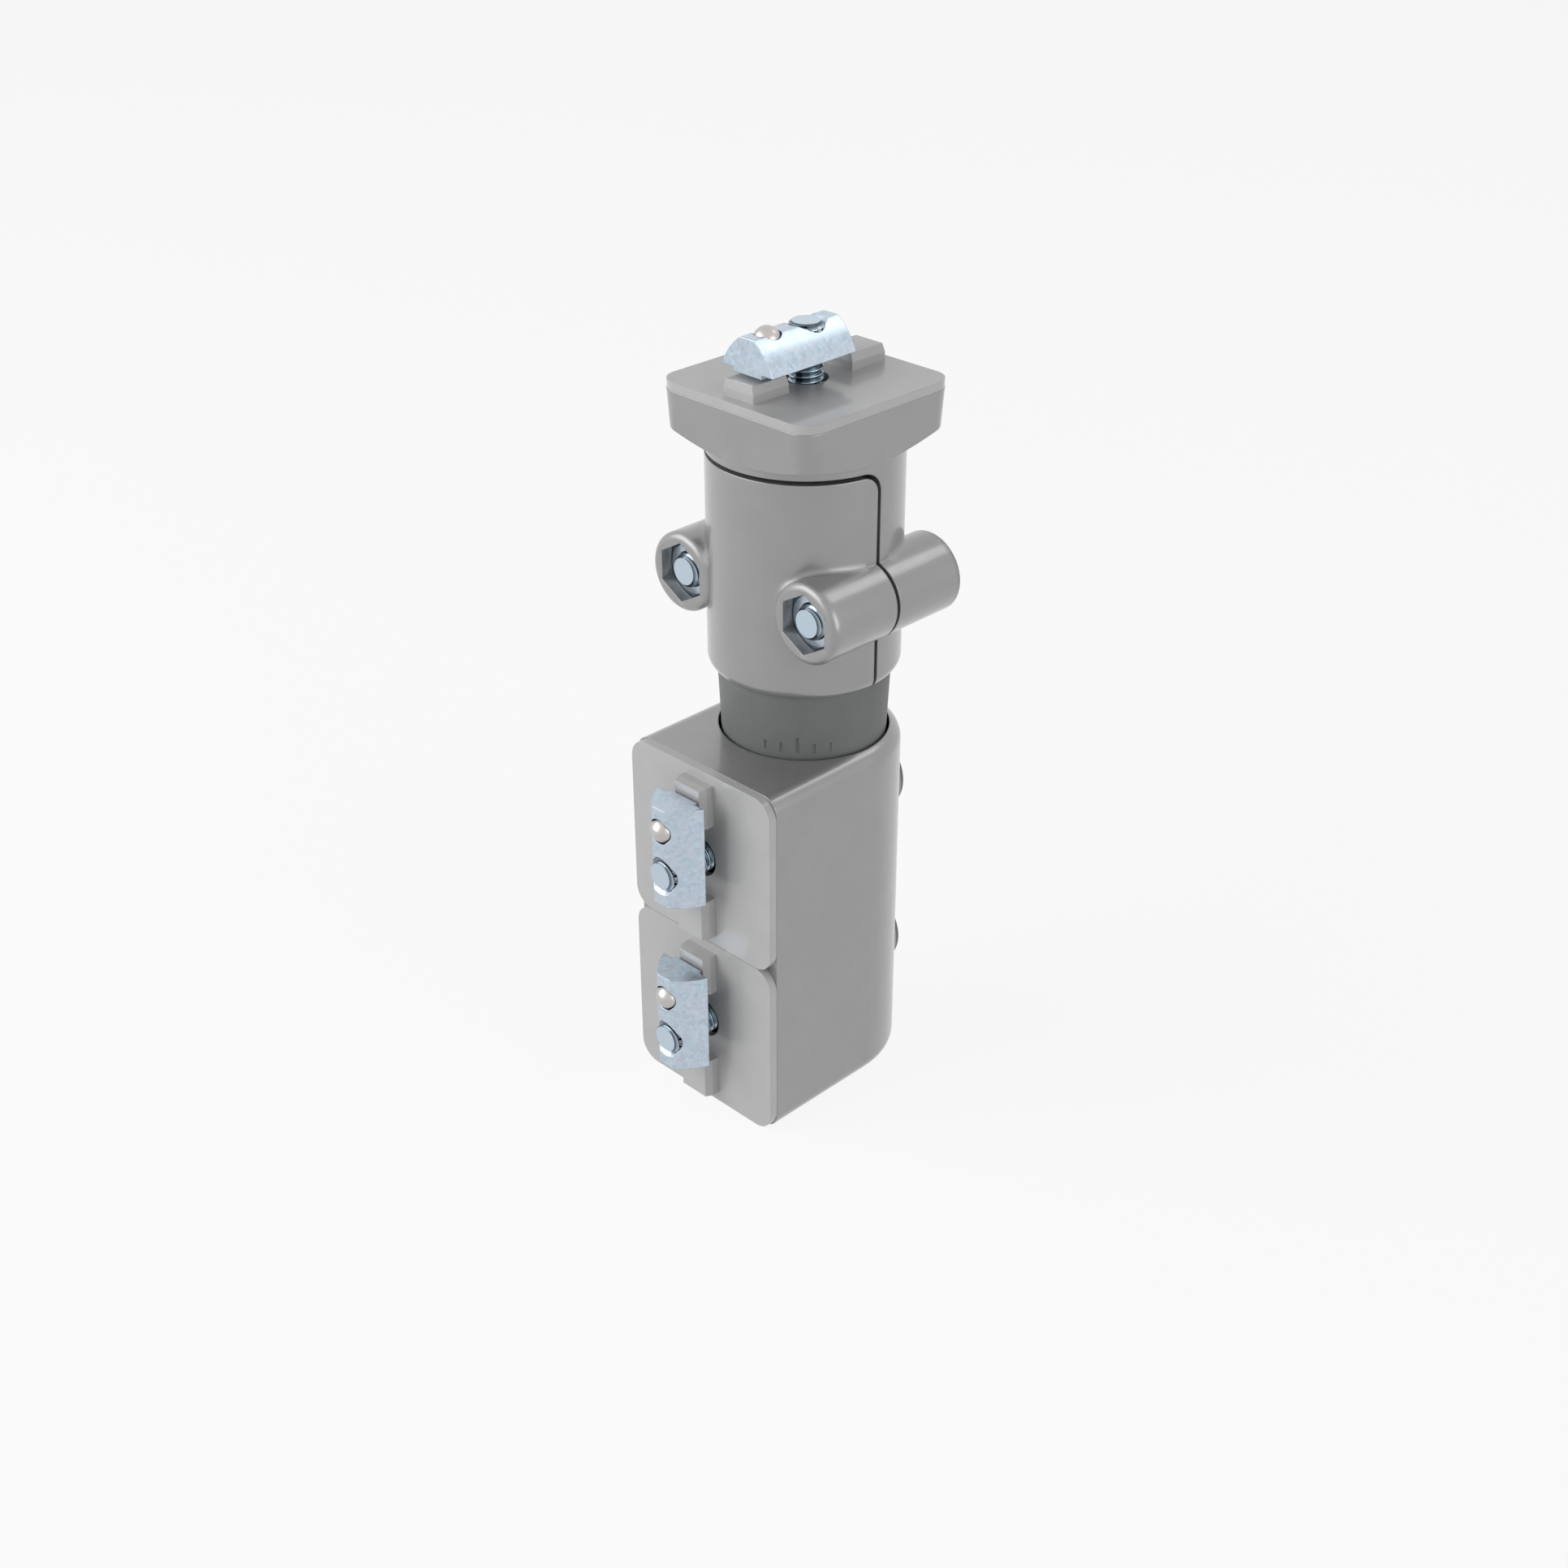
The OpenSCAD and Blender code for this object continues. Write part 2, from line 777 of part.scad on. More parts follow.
// T-nut with its thread on the Z axis, shoulders at Z = 0 and the ball towards -Y
module t_nut() {
    sink_h = nut_sink_d / 2 - thread_r;
    difference() {
        translate([0, nut_hole_end, 0])
            rotate([90, 0, 0])
                linear_extrude(nut_len)
                    t_nut_section();
        translate([0, 0, -nut_collar_h - cut])
            cylinder(r = thread_r + thread_gap, h = nut_h + nut_collar_h + 2 * cut);
        translate([0, 0, nut_h - sink_h])
            cylinder(r1 = thread_r, r2 = nut_sink_d / 2 + cut, h = sink_h + cut);
        translate([0, ball_y, ball_floor])
            cylinder(d = ball_d + 2 * ball_gap, h = nut_h);
    }
}

module detent_ball() {
    translate([0, ball_y, ball_z()])
        sphere(d = ball_d);
}

// Flat wire coil between the floor of the ball's hole and the ball
module detent_spring() {
    spring_r = ball_d / 2 - spring_wire - 0.2;
    wire_in = spring_r - spring_wire / 2;
    top = ball_z() - sqrt(pow(ball_d / 2, 2) - pow(wire_in, 2)) - 0.1;
    translate([0, ball_y, ball_floor + eps])
        linear_extrude(top - ball_floor - eps, twist = -900, slices = 30, $fn = 12)
            difference() {
                circle(r = spring_r + spring_wire / 2, $fn = 12);
                circle(r = spring_r - spring_wire / 2, $fn = 12);
                translate([-2 * spring_r, 0])
                    square([4 * spring_r, 2 * spring_r]);
            }
}

module seat_t_nut_top() {
    on_top_face()
        translate([0, 0, plate_t + lip_t])
            children();
}

module seat_t_nut(z) {
    on_front_face(z)
        translate([0, 0, plate_t + lip_t])
            rotate([0, 0, 180])
                children();
}

module t_nut_top() {
    color(zinc)
        seat_t_nut_top()
            t_nut();
}

module t_nut_upper() {
    color(zinc)
        seat_t_nut(upper_z)
            t_nut();
}

module t_nut_lower() {
    color(zinc)
        seat_t_nut(lower_z)
            t_nut();
}

module detent_ball_top() {
    color(bright_steel)
        seat_t_nut_top()
            detent_ball();
}

module detent_ball_upper() {
    color(bright_steel)
        seat_t_nut(upper_z)
            detent_ball();
}

module detent_ball_lower() {
    color(bright_steel)
        seat_t_nut(lower_z)
            detent_ball();
}

module detent_spring_top() {
    color(bright_steel)
        seat_t_nut_top()
            detent_spring();
}

module detent_spring_upper() {
    color(bright_steel)
        seat_t_nut(upper_z)
            detent_spring();
}

module detent_spring_lower() {
    color(bright_steel)
        seat_t_nut(lower_z)
            detent_spring();
}

module housing_screw(z) {
    color(zinc)
        translate([0, washer_seat + washer_t, z])
            rotate([90, 0, 0])
                socket_screw(housing_screw_len);
}

module mounting_screw_top() {
    color(zinc)
        translate([0, 0, flange_z - top_washer_seat - washer_t])
            socket_screw(flange_screw_len);
}

module mounting_screw_upper() {
    housing_screw(upper_z);
}

module mounting_screw_lower() {
    housing_screw(lower_z);
}

module washer() {
    difference() {
        cylinder(d = washer_d, h = washer_t);
        translate([0, 0, -cut])
            cylinder(d = washer_hole_d, h = washer_t + 2 * cut);
    }
}

module housing_washer(z) {
    color(zinc)
        translate([0, washer_seat, z])
            rotate([-90, 0, 0])
                washer();
}

module washer_top() {
    color(zinc)
        translate([0, 0, flange_z - top_washer_seat - washer_t])
            washer();
}

module washer_upper() {
    housing_washer(upper_z);
}

module washer_lower() {
    housing_washer(lower_z);
}

// Outline of the cap's skirt, a circle with three flats, drawn in by a distance
module skirt_outline(inset) {
    r = skirt_r - inset;
    difference() {
        circle(r = r);
        for (a = [0:120:240])
            rotate(a)
                translate([r - cap_flat, -r])
                    square([r, 2 * r]);
    }
}

// Half section of the cap's cover with its rounded rim and low dome
module cover_profile() {
    dome_w = cap_r - cap_edge_r;
    dome_r = (dome_w * dome_w + cap_dome_h * cap_dome_h) / (2 * cap_dome_h);
    intersection() {
        translate([0, cap_rim_h / 2])
            round_rect(2 * cap_r, cap_rim_h, cap_edge_r);
        square([cap_r + cut, cap_rim_h]);
    }
    intersection() {
        translate([0, cap_rim_h + cap_dome_h - dome_r])
            circle(r = dome_r);
        translate([0, cap_rim_h - cap_edge_r])
            square([dome_w, cap_edge_r + cap_dome_h + cut]);
    }
}

// Cap with its cover above Z = 0 and its skirt below
module screw_cap() {
    rotate_extrude()
        cover_profile();
    translate([0, 0, -cap_skirt_h])
        difference() {
            linear_extrude(cap_skirt_h + eps)
                difference() {
                    skirt_outline(0);
                    skirt_outline(cap_wall);
                }
            for (a = [0:120:240])
                rotate([0, 0, a])
                    translate([0, -skirt_r / 2, -cut])
                        cube([cap_r, skirt_r, cap_skirt_h - cap_low_h + cut]);
        }
    for (a = [60:120:300])
        rotate([0, 0, a])
            translate([skirt_r + cap_nub - nub_r, 0, -cap_skirt_h + nub_r])
                sphere(r = nub_r);
}

module seat_cap(z) {
    color(cap_grey)
        translate([0, pad_face, z])
            rotate([-90, 0, 0])
                screw_cap();
}

module screw_cap_upper() {
    seat_cap(upper_z);
}

module screw_cap_lower() {
    seat_cap(lower_z);
}

housing();
friction_insert();
head_casting();
front_clamp_shell();
clamp_screw_left();
clamp_screw_right();
clamp_nut_left();
clamp_nut_right();
alignment_plate_top();
alignment_plate_upper();
alignment_plate_lower();
t_nut_top();
t_nut_upper();
t_nut_lower();
detent_ball_top();
detent_ball_upper();
detent_ball_lower();
detent_spring_top();
detent_spring_upper();
detent_spring_lower();
mounting_screw_top();
mounting_screw_upper();
mounting_screw_lower();
washer_top();
washer_upper();
washer_lower();
screw_cap_upper();
screw_cap_lower();
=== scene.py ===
"""Looks of the friction joint: materials, detailed screws, studio and camera.

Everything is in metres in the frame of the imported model: Z is the swivel axis and the
housing's mounting face looks along -Y.
"""

import json
import math

import bmesh
import bpy
from mathutils import Matrix, Vector


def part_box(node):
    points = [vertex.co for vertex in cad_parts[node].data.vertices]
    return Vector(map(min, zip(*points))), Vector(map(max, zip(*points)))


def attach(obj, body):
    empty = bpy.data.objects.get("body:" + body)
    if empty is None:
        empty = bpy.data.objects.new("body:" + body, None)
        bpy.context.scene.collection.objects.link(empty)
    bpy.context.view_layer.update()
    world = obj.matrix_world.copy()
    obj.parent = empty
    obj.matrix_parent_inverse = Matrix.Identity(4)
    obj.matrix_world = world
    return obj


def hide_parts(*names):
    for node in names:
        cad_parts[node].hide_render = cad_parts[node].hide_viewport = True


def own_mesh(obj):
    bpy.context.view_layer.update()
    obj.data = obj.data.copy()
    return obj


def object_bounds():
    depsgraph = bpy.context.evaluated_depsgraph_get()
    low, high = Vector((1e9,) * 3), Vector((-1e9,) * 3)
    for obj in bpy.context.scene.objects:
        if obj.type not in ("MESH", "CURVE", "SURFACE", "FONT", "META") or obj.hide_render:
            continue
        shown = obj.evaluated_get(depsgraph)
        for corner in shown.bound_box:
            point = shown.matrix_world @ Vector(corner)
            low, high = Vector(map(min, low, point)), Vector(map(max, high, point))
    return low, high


MM = 0.001
UP = (0, 0, 1)
FORWARD = (0, -1, 0)

# Camera of the photograph, found by fitting the visible edges
CAMERA_AT = Vector((310.6, -319.0, 328.4)) * MM
CAMERA_AZIMUTH = math.radians(44.83)
CAMERA_ELEVATION = math.radians(29.88)
CAMERA_LENS = 50.0
CAMERA_SENSOR = 36.0
CAMERA_NEAR = 10.0 * MM

# Lamps: name, place, width, height and power, all turned to one point
LAMPS = (
    ("key", (-0.6, -0.95, 0.6), 1.2, 1.0, 9.8),
    ("fill", (1.1, 0.1, 0.25), 0.8, 1.0, 5.0),
    ("rim", (0.30, 0.85, 1.00), 0.45, 0.30, 0.7),
)
LAMPS_FACE = (0.0, 0.0, 0.1)
WORLD_LIGHT = 0.30

# Floor, which glows for the rays that see it and is matt for the rest
FLOOR_REACH = 6.0
FLOOR_GAP = 0.2 * MM
FLOOR_WHITE = (0.9, 0.9, 0.9)
FLOOR_GLOW_SHARE = 0.88

# Sizes of the M8 screws
HEAD_R = 6.5 * MM
HEAD_H = 8.0 * MM
HEAD_CHAMFER = 0.5 * MM
HEAD_FOOT_CHAMFER = 0.12 * MM
SOCKET_AF = 6.0 * MM
SOCKET_DEPTH = 4.0 * MM
SOCKET_CHAMFER = 0.25 * MM
SOCKET_CONE_H = 1.2 * MM
SOCKET_CONE_R = 0.2 * MM
NECK_R = 4.0 * MM
NECK_LEN = 5.0 * MM
NECK_STEP = 0.05 * MM
CREST_R = 3.95 * MM
ROOT_R = 3.32 * MM
PITCH = 1.25 * MM
TIP_CHAMFER = 0.8 * MM
TIP_MIDDLE_R = 0.3 * MM

# Thread and section of the T-nuts
NUT_CREST_R = 3.42 * MM
NUT_ROOT_R = 4.01 * MM
NUT_COLLAR_H = 0.9 * MM
NUT_FLAT_W = 4.2 * MM
NUT_FLANK_R = 16.0 * MM
NUT_SINK_H = 0.85 * MM
NUT_LINING_INSET = 0.04 * MM

# Springs under the detent balls
SPRING_WIRE_R = 0.3 * MM
SPRING_TURNS = 2.5
SPRING_STEPS_PER_TURN = 24
SPRING_WIRE_SIDES = 10

# Meshes: corners of a ring, distance at which corners merge, angle of a sharp edge
AROUND = 48
MERGE = 0.001 * MM
SHARP_ANGLE = math.radians(32)

# Shaded rounding of the castings: plain edges, and the feet of the clamp ears
HOUSING_EDGE_R = 0.45 * MM
CLAMP_EDGE_R = 0.4 * MM
EAR_FOOT_R = 2.4 * MM
EAR_FOOT_BAND = 2.0 * MM
EAR_SLIT_CLEAR = 3.5 * MM
EAR_END_CLEAR = 1.8 * MM

# Surface colours, linear
CAST_GREY = (0.318, 0.318, 0.317)
INSERT_GREY = (0.163, 0.174, 0.170)
PLATE_GREY = (0.480, 0.480, 0.477)
ZINC = (0.480, 0.590, 0.675)
ZINC_PINK = (0.570, 0.560, 0.625)
WASHER_ZINC = (0.560, 0.590, 0.610)
SCREW_ZINC = (0.500, 0.600, 0.680)
# Dark zinc that paints shade into the thread roots of the screws and into the threads of the T-nut
# holes
THREAD_SHADE_ZINC = (0.170, 0.215, 0.255)
BALL_STEEL = (0.520, 0.495, 0.480)
CAP_GREY = (0.152, 0.162, 0.160)

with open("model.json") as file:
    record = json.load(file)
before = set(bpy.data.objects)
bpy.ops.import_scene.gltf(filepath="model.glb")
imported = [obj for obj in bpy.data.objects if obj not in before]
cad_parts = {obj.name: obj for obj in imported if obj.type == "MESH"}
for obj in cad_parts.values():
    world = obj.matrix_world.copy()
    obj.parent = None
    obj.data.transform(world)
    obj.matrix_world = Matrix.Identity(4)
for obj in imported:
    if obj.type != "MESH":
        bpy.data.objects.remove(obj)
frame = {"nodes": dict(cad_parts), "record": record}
cad_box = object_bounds()
nodes = frame["nodes"]


def tint(colour, k):
    return tuple(min(1.0, c * k) for c in colour)


class Shader:
    """A material under construction, with short calls for the nodes used here."""

    def __init__(self, name, colour, metallic, roughness):
        self.mat = bpy.data.materials.new(name)
        self.mat.use_nodes = True
        self.tree = self.mat.node_tree
        self.skin = self.tree.nodes["Principled BSDF"]
        self.skin.inputs["Base Color"].default_value = (*colour, 1)
        self.skin.inputs["Metallic"].default_value = metallic
        self.skin.inputs["Roughness"].default_value = roughness
        coordinates = self.add("ShaderNodeTexCoord")
        self.place = coordinates.outputs["Object"]
        self.facing = coordinates.outputs["Normal"]

    def add(self, kind, **settings):
        made = self.tree.nodes.new(kind)
        for key, value in settings.items():
            setattr(made, key, value)
        return made

    def link(self, out, into):
        self.tree.links.new(out, into)

    def noise(self, size, detail=3.0, rough=0.5):
        made = self.add("ShaderNodeTexNoise")
        made.inputs["Scale"].default_value = 1 / size
        made.inputs["Detail"].default_value = detail
        made.inputs["Roughness"].default_value = rough
        self.link(self.place, made.inputs["Vector"])
        return made.outputs["Fac"]

    def cells(self, size):
        made = self.add("ShaderNodeTexVoronoi")
        made.inputs["Scale"].default_value = 1 / size
        self.link(self.place, made.inputs["Vector"])
        return made.outputs["Color"]

    def toward(self, fac, out, colour):
        """Blends a colour output towards a plain colour."""
        made = self.add("ShaderNodeMixRGB")
        self.link(fac, made.inputs["Fac"])
        self.link(out, made.inputs["Color1"])
        made.inputs["Color2"].default_value = (*colour, 1)
        return made.outputs["Color"]

    def ramp(self, fac, low, high, start=0.0, end=1.0):
        made = self.add("ShaderNodeValToRGB")
        made.color_ramp.elements[0].position = start
        made.color_ramp.elements[1].position = end
        made.color_ramp.elements[0].color = (*low, 1)
        made.color_ramp.elements[1].color = (*high, 1)
        self.link(fac, made.inputs["Fac"])
        return made.outputs["Color"]

    def span(self, fac, low, high):
        made = self.add("ShaderNodeMapRange")
        made.inputs["To Min"].default_value = low
        made.inputs["To Max"].default_value = high
        self.link(fac, made.inputs["Value"])
        return made.outputs["Result"]

    def math(self, operation, *values):
        made = self.add("ShaderNodeMath", operation=operation)
        for socket, value in zip(made.inputs, values):
            if isinstance(value, (int, float)):
                socket.default_value = value
            else:
                self.link(value, socket)
        return made.outputs["Value"]

    def hypot(self, a, b):
        squares = self.math("ADD", self.math("MULTIPLY", a, a), self.math("MULTIPLY", b, b))
        return self.math("SQRT", squares)

    def parts(self, vector):
        made = self.add("ShaderNodeSeparateXYZ")
        self.link(vector, made.inputs["Vector"])
        return made.outputs["X"], made.outputs["Y"], made.outputs["Z"]

    def soft_edges(self, radius):
        """Rounds the shading of edges, by one radius or by an output that holds it."""
        made = self.add("ShaderNodeBevel", samples=8)
        if isinstance(radius, float):
            made.inputs["Radius"].default_value = radius
        else:
            self.link(radius, made.inputs["Radius"])
        return made.outputs["Normal"]

    def coat(self, weight, roughness):
        self.skin.inputs["Coat Weight"].default_value = weight
        self.skin.inputs["Coat Roughness"].default_value = roughness

    def colour(self, out):
        self.link(out, self.skin.inputs["Base Color"])

    def mottle(self, colour, size, dark, light, start, end):
        """Colours the surface in soft patches between a dark and a light tint of a colour."""
        patches = self.noise(size)
        self.colour(self.ramp(patches, tint(colour, dark), tint(colour, light), start, end))

    def roughness(self, fac, low, high):
        self.link(self.span(fac, low, high), self.skin.inputs["Roughness"])

    def bump(self, height, distance, strength, normal=None):
        """Gives the surface a fine relief, on top of a normal if there is one."""
        made = self.add("ShaderNodeBump")
        made.inputs["Distance"].default_value = distance
        made.inputs["Strength"].default_value = strength
        self.link(height, made.inputs["Height"])
        if normal is not None:
            self.link(normal, made.inputs["Normal"])
        self.link(made.outputs["Normal"], self.skin.inputs["Normal"])


def ear_foot(s):
    """1 in a ring round the foot of each clamp ear, clear of the slit, and 0 elsewhere."""
    low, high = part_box("clamp_screw_right")
    axis = (low + high) / 2
    shell_low, shell_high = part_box("front_clamp_shell")
    ear_r = shell_high.x - axis.x
    ear_end = -shell_low.y - EAR_END_CLEAR
    x, y, z = s.parts(s.place)
    off_x = s.math("SUBTRACT", s.math("ABSOLUTE", x), axis.x)
    off_z = s.math("SUBTRACT", z, axis.z)
    off_ear = s.math("ABSOLUTE", s.math("SUBTRACT", s.hypot(off_x, off_z), ear_r))
    near = s.math("LESS_THAN", off_ear, EAR_FOOT_BAND)
    deep = s.math("ABSOLUTE", y)
    past_slit = s.math("GREATER_THAN", deep, EAR_SLIT_CLEAR)
    before_end = s.math("LESS_THAN", deep, ear_end)
    return s.math("MULTIPLY", near, s.math("MULTIPLY", past_slit, before_end))


def casting(name, edge, wide_edge=None, where=None):
    """Lacquered casting, with its edges rounded more where an output of the shader is 1."""
    s = Shader(name, CAST_GREY, metallic=0.5, roughness=0.3)
    s.coat(weight=0.6, roughness=0.06)
    s.mottle(CAST_GREY, 9 * MM, dark=0.98, light=1.02, start=0.35, end=0.65)
    s.roughness(s.noise(2.5 * MM), 0.26, 0.34)
    radius = s.span(where(s), edge, wide_edge) if where else edge
    s.bump(s.noise(3.0 * MM, detail=1.0), 0.01 * MM, 0.4, s.soft_edges(radius))
    return s.mat


def insert_grey():
    s = Shader("insert_matt_grey", INSERT_GREY, metallic=0.0, roughness=0.62)
    s.mottle(INSERT_GREY, 5 * MM, dark=0.96, light=1.05, start=0.3, end=0.7)
    s.roughness(s.noise(0.8 * MM), 0.55, 0.68)
    s.bump(s.noise(0.4 * MM), 0.008 * MM, 0.4, s.soft_edges(0.2 * MM))
    return s.mat


def plate_grey():
    s = Shader("plate_light_grey", PLATE_GREY, metallic=0.0, roughness=0.42)
    s.coat(weight=0.7, roughness=0.12)
    s.mottle(PLATE_GREY, 6 * MM, dark=0.98, light=1.02, start=0.35, end=0.65)
    s.roughness(s.noise(1.5 * MM), 0.36, 0.48)
    s.bump(s.noise(0.8 * MM), 0.006 * MM, 0.4, s.soft_edges(0.22 * MM))
    return s.mat


def zinc(name, colour, edge, contrast=1.0):
    """Bright zinc plating: fine crystals, a bluish tone and faint pink patches."""
    s = Shader(name, colour, metallic=1.0, roughness=0.3)
    speckle = s.math("ADD", s.noise(0.7 * MM, detail=4.0, rough=0.6), s.cells(0.8 * MM))
    grain = s.math("MULTIPLY", speckle, 0.5)
    dark = tint(colour, 1 - 0.16 * contrast)
    light = tint(colour, 1 + 0.11 * contrast)
    crystals = s.ramp(grain, dark, light, start=0.25, end=0.75)
    patches = s.span(s.noise(2.2 * MM, rough=0.6), -0.55 * contrast, contrast)
    s.colour(s.toward(patches, crystals, ZINC_PINK))
    s.roughness(grain, 0.24, 0.24 + 0.1 * contrast)
    s.bump(s.noise(0.6 * MM, rough=0.6), 0.008 * MM, 0.4, s.soft_edges(edge))
    return s.mat


def shaded_thread_zinc():
    """Zinc plating of the screws, with painted shade that darkens it towards the root of the
    thread.
    """
    s = Shader("zinc_screw_painted_shade", THREAD_SHADE_ZINC, metallic=1.0, roughness=0.26)
    x, y, _ = s.parts(s.place)
    # Painted shade: the colour runs from dark zinc at the thread root to bright zinc at the crest,
    # and the flat end faces stay bright
    end_face = s.math("GREATER_THAN", s.math("ABSOLUTE", s.parts(s.facing)[2]), 0.85)
    height = s.math("DIVIDE", s.math("SUBTRACT", s.hypot(x, y), ROOT_R), CREST_R - ROOT_R)
    grain = s.span(s.noise(0.8 * MM, detail=4.0, rough=0.6), -0.08, 0.08)
    light = s.math("MAXIMUM", s.math("ADD", height, grain), end_face)
    s.colour(s.ramp(light, tint(THREAD_SHADE_ZINC, 0.6), SCREW_ZINC))
    s.roughness(s.noise(0.7 * MM), 0.16, 0.28)
    s.bump(s.noise(0.6 * MM), 0.003 * MM, 0.3, s.soft_edges(0.08 * MM))
    return s.mat


def ball_steel():
    s = Shader("ball_polished_steel", BALL_STEEL, metallic=1.0, roughness=0.34)
    s.roughness(s.noise(1.0 * MM), 0.31, 0.37)
    s.bump(s.noise(0.6 * MM), 0.001 * MM, 0.3)
    return s.mat


def cap_plastic():
    s = Shader("cap_dark_grey_plastic", CAP_GREY, metallic=0.0, roughness=0.42)
    s.mottle(CAP_GREY, 4 * MM, dark=0.95, light=1.06, start=0.3, end=0.7)
    s.bump(s.noise(0.5 * MM), 0.005 * MM, 0.4, s.soft_edges(0.25 * MM))
    return s.mat


def paint(material, *starts):
    """Gives one material to every CAD piece whose name begins with one of the starts."""
    for name in sorted(nodes):
        if name.startswith(starts):
            slots = nodes[name].data.materials
            slots.clear()
            slots.append(material)


def angles(count=AROUND):
    """Share of a turn and angle of each corner of a ring."""
    return [(i / count, 2 * math.pi * i / count) for i in range(count)]


def ring(bm, radii):
    """One corner for each radius and height, round the Z axis."""
    made = []
    for (r, z), (_, a) in zip(radii, angles()):
        made.append(bm.verts.new((r * math.cos(a), r * math.sin(a), z)))
    return made


def join_rows(bm, rows, closed=True):
    """Skins a list of rows of vertices, each running once round the axis."""
    for low, high in zip(rows, rows[1:]):
        for i in range(len(low)):
            j = (i + 1) % len(low)
            bm.faces.new((low[i], low[j], high[j], high[i]))
    if closed:
        bm.faces.new(rows[-1])


def join_helix(bm, rows, per_turn, inward=False):
    """Skins rows that climb one pitch per turn and go on in the row one turn later."""
    for k, (low, high) in enumerate(zip(rows, rows[1:])):
        faces = [(low[i], low[i + 1], high[i + 1], high[i]) for i in range(len(low) - 1)]
        if k + 1 + per_turn < len(rows):
            faces.append((low[-1], rows[k + per_turn][0], rows[k + 1 + per_turn][0], high[-1]))
        for a, b, c, d in faces:
            bm.faces.new((b, a, d, c) if inward else (a, b, c, d))


def as_mesh(bm, name):
    """Ends a mesh: smooth faces, with sharp edges where neighbours meet at a wide angle."""
    for face in bm.faces:
        face.smooth = True
    for edge in bm.edges:
        if edge.is_manifold and edge.calc_face_angle() > SHARP_ANGLE:
            edge.smooth = False
    mesh = bpy.data.meshes.new(name)
    bm.to_mesh(mesh)
    bm.free()
    return mesh


def add_piece(name, mesh, material):
    piece = bpy.data.objects.new(name, mesh)
    bpy.context.collection.objects.link(piece)
    piece.data.materials.append(material)
    return piece


def body_with(node):
    bodies = frame["record"]["behaviour"]["bodies"]
    return next(body for body, members in bodies.items() if node in members)


def size_along(low, high, along):
    return abs((high - low).dot(along))


def moved_along(point, along, reach):
    """A point moved along a direction until it has this reach in it."""
    return point - along * point.dot(along) + along * reach


def hexagon(angle, across_flats):
    """Distance from the axis to the side of a hexagon at an angle."""
    return across_flats / 2 / math.cos((angle + math.pi / 6) % (math.pi / 3) - math.pi / 6)


def head_rows():
    """Rows of the screw head from the bearing face to the bottom of the socket."""
    foot = HEAD_FOOT_CHAMFER
    socket_r = SOCKET_AF / 2 / math.cos(math.pi / 6)
    round_rows = [
        (NECK_R, 0.0),
        (HEAD_R - foot, 0.0),
        (HEAD_R, -foot),
        (HEAD_R, -HEAD_H + HEAD_CHAMFER),
        (HEAD_R - 0.2 * HEAD_CHAMFER, -HEAD_H + 0.25 * HEAD_CHAMFER),
        (HEAD_R - HEAD_CHAMFER, -HEAD_H),
        (socket_r + SOCKET_CHAMFER, -HEAD_H),
    ]
    rows = [[(r, z)] * AROUND for r, z in round_rows]
    for z in (-HEAD_H + SOCKET_CHAMFER, -HEAD_H + SOCKET_DEPTH):
        rows.append([(hexagon(a, SOCKET_AF), z) for _, a in angles()])
    rows.append([(SOCKET_CONE_R, -HEAD_H + SOCKET_DEPTH + SOCKET_CONE_H)] * AROUND)
    return rows


def limited(value):
    return max(0.0, min(1.0, value))


def thread_radius(phase, z, length):
    """Radius of the threaded shank: phase runs from 0 to 1 over one pitch."""
    crest_share = 0.12
    flanks_share = 0.72
    run_in = 1.2 * PITCH
    tooth = limited((abs(phase - 0.5) * 2 - crest_share) / flanks_share)
    fade = limited((z - NECK_LEN) / run_in)
    radius = CREST_R - (CREST_R - ROOT_R) * tooth * fade
    tip = CREST_R - TIP_CHAMFER + (length - z)
    return max(min(radius, tip), CREST_R - TIP_CHAMFER)


def threaded_shank(bm, length):
    """Helical thread whose rows climb one pitch per turn, cut flat at both ends."""
    phases = (0.0, 0.06, 0.42, 0.5, 0.58, 0.94)
    start = NECK_LEN - PITCH
    rows = []
    for turn in range(math.ceil((length - NECK_LEN) / PITCH) + 2):
        for phase in phases:
            radii = []
            for share, _ in angles():
                z = max(NECK_LEN, min(length, start + (turn + phase + share) * PITCH))
                radii.append((thread_radius(phase, z, length), z))
            rows.append(ring(bm, radii))
    join_helix(bm, rows, len(phases))


def screw_mesh(name, length):
    """Socket head screw along Z, with its bearing face at 0 and its tip at length."""
    bm = bmesh.new()
    join_rows(bm, [ring(bm, row) for row in head_rows()])
    neck = ((NECK_R, 0.0), (NECK_R, NECK_LEN - NECK_STEP), (CREST_R, NECK_LEN))
    join_rows(bm, [ring(bm, [row] * AROUND) for row in neck], closed=False)
    threaded_shank(bm, length)
    tip = ((CREST_R - TIP_CHAMFER, length), (TIP_MIDDLE_R, length))
    join_rows(bm, [ring(bm, [row] * AROUND) for row in tip])
    bmesh.ops.remove_doubles(bm, verts=bm.verts, dist=MERGE)
    bmesh.ops.recalc_face_normals(bm, faces=bm.faces)
    return as_mesh(bm, name)


def screw(node, direction, material):
    """Replaces a CAD screw by a threaded one; direction points from its head to its tip."""
    low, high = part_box(node)
    along = Vector(direction)
    length = size_along(low, high, along) - HEAD_H
    tip = moved_along((low + high) / 2, along, max(low.dot(along), high.dot(along)))
    turn = along.to_track_quat("Z", "Y").to_matrix().to_4x4()
    piece = add_piece(node + "_threaded", screw_mesh(node, length), material)
    piece.matrix_world = Matrix.Translation(tip - along * length) @ turn
    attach(piece, body_with(node))
    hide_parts(node)


